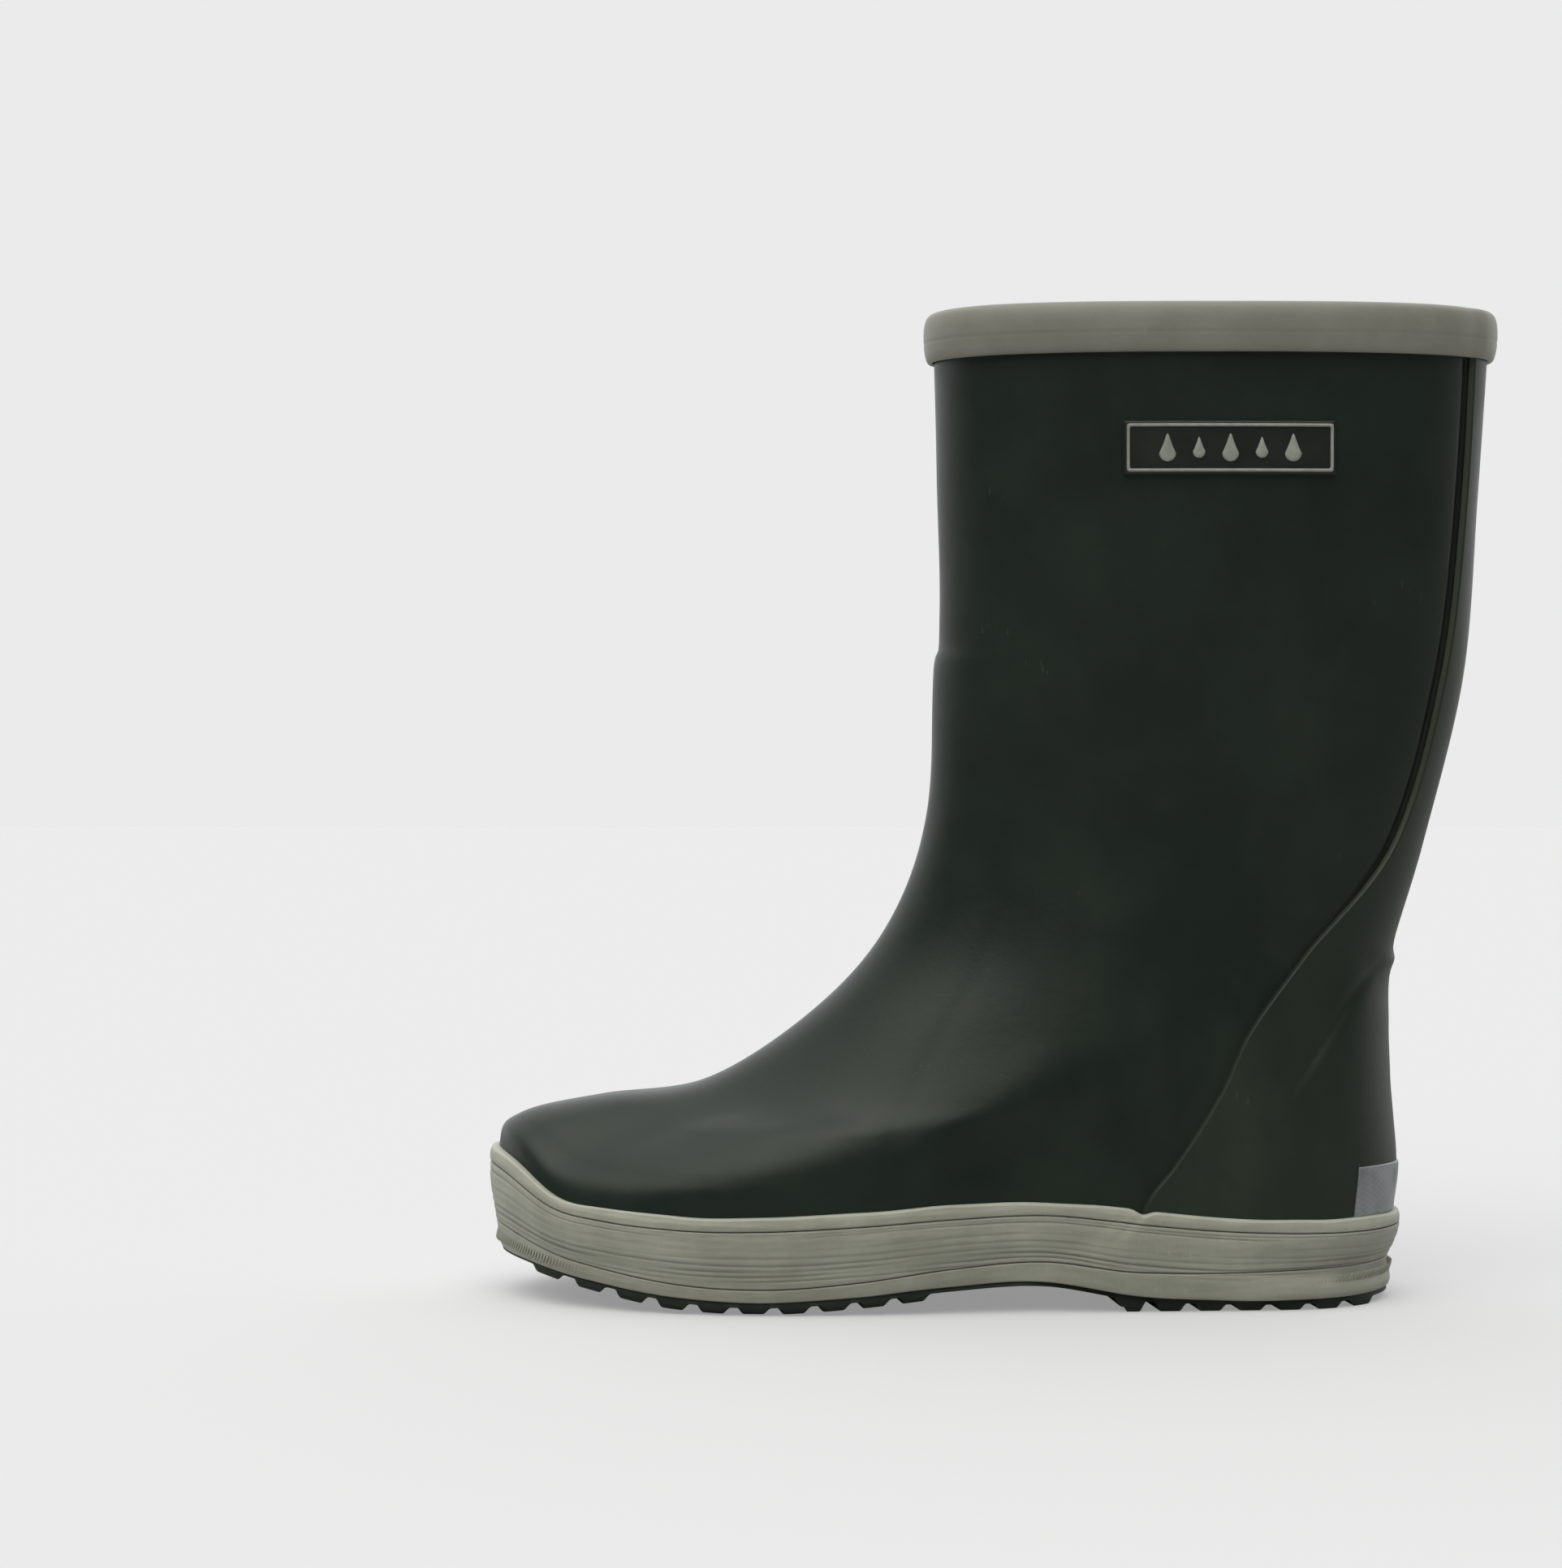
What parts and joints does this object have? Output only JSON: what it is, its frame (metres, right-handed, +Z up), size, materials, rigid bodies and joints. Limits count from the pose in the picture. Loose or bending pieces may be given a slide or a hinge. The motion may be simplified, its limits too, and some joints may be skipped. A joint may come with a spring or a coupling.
{
  "type": "rubber rain boot",
  "caption": "Child's pull-on natural-rubber rain boot, left foot, with grey ribbed foxing, folded top binding, reflective heel patch and a loose lift-out insole.",
  "frame": {"origin": "middle of the boot's bounding box, on the floor under the sole", "axes": "+X towards the heel, toe towards -X; the outer side of the foot, with the badge, towards -Y; +Z up the leg"},
  "size_m": [0.239, 0.0814, 0.2315],
  "materials": {
    "green_rubber": "satin calendered natural rubber, dark green",
    "sole_rubber": "matte moulded rubber, blackish green",
    "grey_rubber": "matte warm grey rubber tape",
    "sponge": "sponge rubber",
    "board": "rubberised textile board",
    "foam": "soft foam",
    "insole_cloth": "cotton cloth",
    "knit_lining": "knitted cotton",
    "stiffener_sheet": "rubberised fabric",
    "reflective_tape": "grey retroreflective film",
    "badge_rubber": "smooth black rubber",
    "badge_relief": "printed raised rubber"
  },
  "bodies": {
    "boot": {"outsole": "sole_rubber", "midsole_filler": "sponge", "heel_wedge": "sponge", "insole_board": "board", "lining": "knit_lining", "toe_puff": "stiffener_sheet", "heel_counter": "stiffener_sheet", "instep_reinforcement": "stiffener_sheet", "leg_and_vamp": "green_rubber", "back_stay": "green_rubber", "reflective_patch": "reflective_tape", "top_binding": "grey_rubber", "foxing_lower_strip": "grey_rubber", "foxing_band": "grey_rubber", "foxing_top_stripe": "grey_rubber", "badge_plate": "badge_rubber", "badge_border": "badge_relief", "badge_drop_first": "badge_relief", "badge_drop_second": "badge_relief", "badge_drop_third": "badge_relief", "badge_drop_fourth": "badge_relief", "badge_drop_fifth": "badge_relief"},
    "insole": {"insole_foam": "foam", "insole_cloth": "insole_cloth"}
  },
  "joints": [
    {"name": "insole_lift", "type": "hinge", "parent": "boot", "child": "insole", "pos_m": [-0.111, 0, 0.0165], "axis": [0, -1, 0], "range_deg": [0, 10]}
  ]
}
